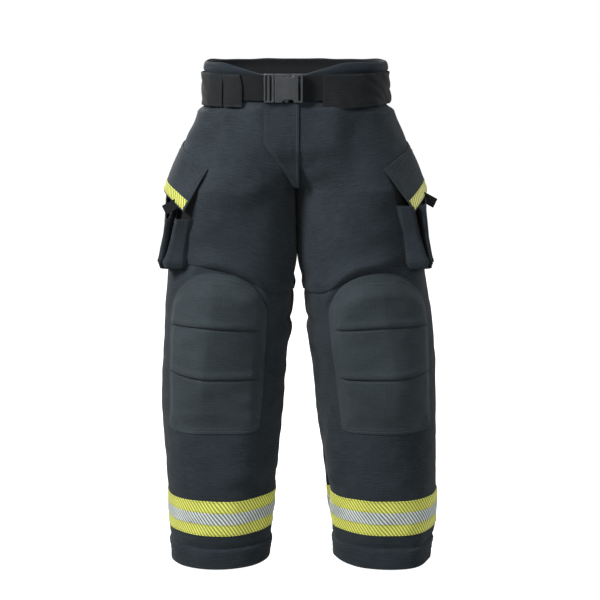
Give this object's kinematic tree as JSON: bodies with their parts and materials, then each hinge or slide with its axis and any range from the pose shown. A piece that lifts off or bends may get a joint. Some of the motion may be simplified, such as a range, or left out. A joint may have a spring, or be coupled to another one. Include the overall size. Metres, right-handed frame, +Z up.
{
  "type": "firefighting turnout trousers",
  "caption": "Structural firefighting trousers with belt and side-release buckle, fly, bellows cargo pockets, shaped padded knees and hatched leg trim, on hip, knee, flap, zip and buckle joints.",
  "frame": {"origin": "centre of the waist opening, level with the middle of the belt", "axes": "+Z up, the front faces -Y, +X to the wearer's left"},
  "size_m": [0.5854, 0.2844, 1.058],
  "materials": {
    "shell": "matt ripstop outer shell, slate grey",
    "band": "matt plain weave, dark slate navy",
    "patch": "matt coarse coated weave, grey green",
    "webbing": "black herringbone webbing",
    "buckle": "dark grey moulded plastic, satin",
    "fluorescent": "fluorescent lime yellow trim tape",
    "reflective": "silver retroreflective tape",
    "liner": "quilted thermal liner",
    "foam": "closed cell knee foam",
    "black_tape": "black facing and tapes",
    "brass": "aged brass slider"
  },
  "bodies": {
    "waist": {"waistband": "band", "waist_facing": "black_tape", "hip_shell_right": "shell", "hip_shell_left": "shell", "hip_liner_right": "liner", "hip_liner_left": "liner", "hip_crease_right": "shell", "hip_crease_left": "shell", "belt_webbing": "webbing", "belt_tunnel_right": "webbing", "belt_tunnel_left": "webbing", "belt_loop": "webbing", "buckle_socket": "buckle", "zip_tape_right": "black_tape", "zip_tape_left": "black_tape"},
    "buckle_plug": {"buckle_plug": "buckle"},
    "latch_upper": {"buckle_latch_upper": "buckle"},
    "latch_lower": {"buckle_latch_lower": "buckle"},
    "zip_slider": {"zip_slider": "brass"},
    "fly_flap": {"fly_flap": "shell"},
    "thigh_right": {"thigh_shell_right": "shell", "thigh_liner_right": "liner", "cargo_pocket_right": "shell", "knee_band_right": "shell", "knee_pad_right": "foam", "knee_patch_upper_right": "patch", "knee_patch_middle_right": "patch"},
    "pocket_flap_right": {"pocket_flap_right": "shell", "flap_stripe_right": "fluorescent", "pull_tab_right": "webbing", "flap_hook_tape_right": "black_tape"},
    "shin_right": {"shin_shell_right": "shell", "shin_liner_right": "liner", "knee_patch_lower_right": "patch", "leg_trim_right": "fluorescent", "reflective_stripe_right": "reflective", "cuff_right": "shell"},
    "thigh_left": {"thigh_shell_left": "shell", "thigh_liner_left": "liner", "cargo_pocket_left": "shell", "knee_band_left": "shell", "knee_pad_left": "foam", "knee_patch_upper_left": "patch", "knee_patch_middle_left": "patch"},
    "pocket_flap_left": {"pocket_flap_left": "shell", "flap_stripe_left": "fluorescent", "pull_tab_left": "webbing", "flap_hook_tape_left": "black_tape"},
    "shin_left": {"shin_shell_left": "shell", "shin_liner_left": "liner", "knee_patch_lower_left": "patch", "leg_trim_left": "fluorescent", "reflective_stripe_left": "reflective", "cuff_left": "shell"}
  },
  "joints": [
    {"name": "hip_right", "type": "hinge", "parent": "waist", "child": "thigh_right", "pos_m": [-0.13, 0, -0.12], "axis": [-1, 0, 0], "range_deg": [-10, 25], "deforming": ["hip_crease_right"]},
    {"name": "knee_right", "type": "hinge", "parent": "thigh_right", "child": "shin_right", "pos_m": [-0.155, 0.025, -0.545], "axis": [1, 0, 0], "range_deg": [0, 60], "deforming": ["knee_band_right", "knee_patch_middle_right", "knee_pad_right"]},
    {"name": "flap_right", "type": "hinge", "parent": "thigh_right", "child": "pocket_flap_right", "pos_m": [-0.2405, 0, -0.1195], "axis": [0, 0.9658, 0.2592], "range_deg": [0, 110]},
    {"name": "hip_left", "type": "hinge", "parent": "waist", "child": "thigh_left", "pos_m": [0.13, 0, -0.12], "axis": [-1, 0, 0], "range_deg": [-10, 25], "deforming": ["hip_crease_left"]},
    {"name": "knee_left", "type": "hinge", "parent": "thigh_left", "child": "shin_left", "pos_m": [0.155, 0.025, -0.545], "axis": [1, 0, 0], "range_deg": [0, 60], "deforming": ["knee_band_left", "knee_patch_middle_left", "knee_pad_left"]},
    {"name": "flap_left", "type": "hinge", "parent": "thigh_left", "child": "pocket_flap_left", "pos_m": [0.2405, 0, -0.1195], "axis": [0, -0.9658, -0.2592], "range_deg": [0, 110]},
    {"name": "fly_open", "type": "hinge", "parent": "waist", "child": "fly_flap", "pos_m": [-0.065, -0.1435, -0.09], "axis": [0, -0.0718, -0.9974], "range_deg": [0, 70]},
    {"name": "zip_slide", "type": "slide", "parent": "waist", "child": "zip_slider", "axis": [0, -0.0718, -0.9974], "range_m": [0, 0.13]},
    {"name": "buckle_release", "type": "slide", "parent": "waist", "child": "buckle_plug", "axis": [-1, 0, 0], "range_m": [0, 0.04], "deforming": ["buckle_latch_upper", "buckle_latch_lower"]},
    {"name": "latch_upper_press", "type": "hinge", "parent": "buckle_plug", "child": "latch_upper", "pos_m": [-0.042, -0.141, 0.0175], "axis": [0, 1, 0], "range_deg": [0, 6], "stiffness_Nm_per_rad": 0.3},
    {"name": "latch_lower_press", "type": "hinge", "parent": "buckle_plug", "child": "latch_lower", "pos_m": [-0.042, -0.141, -0.0175], "axis": [0, -1, 0], "range_deg": [0, 6], "stiffness_Nm_per_rad": 0.3}
  ]
}
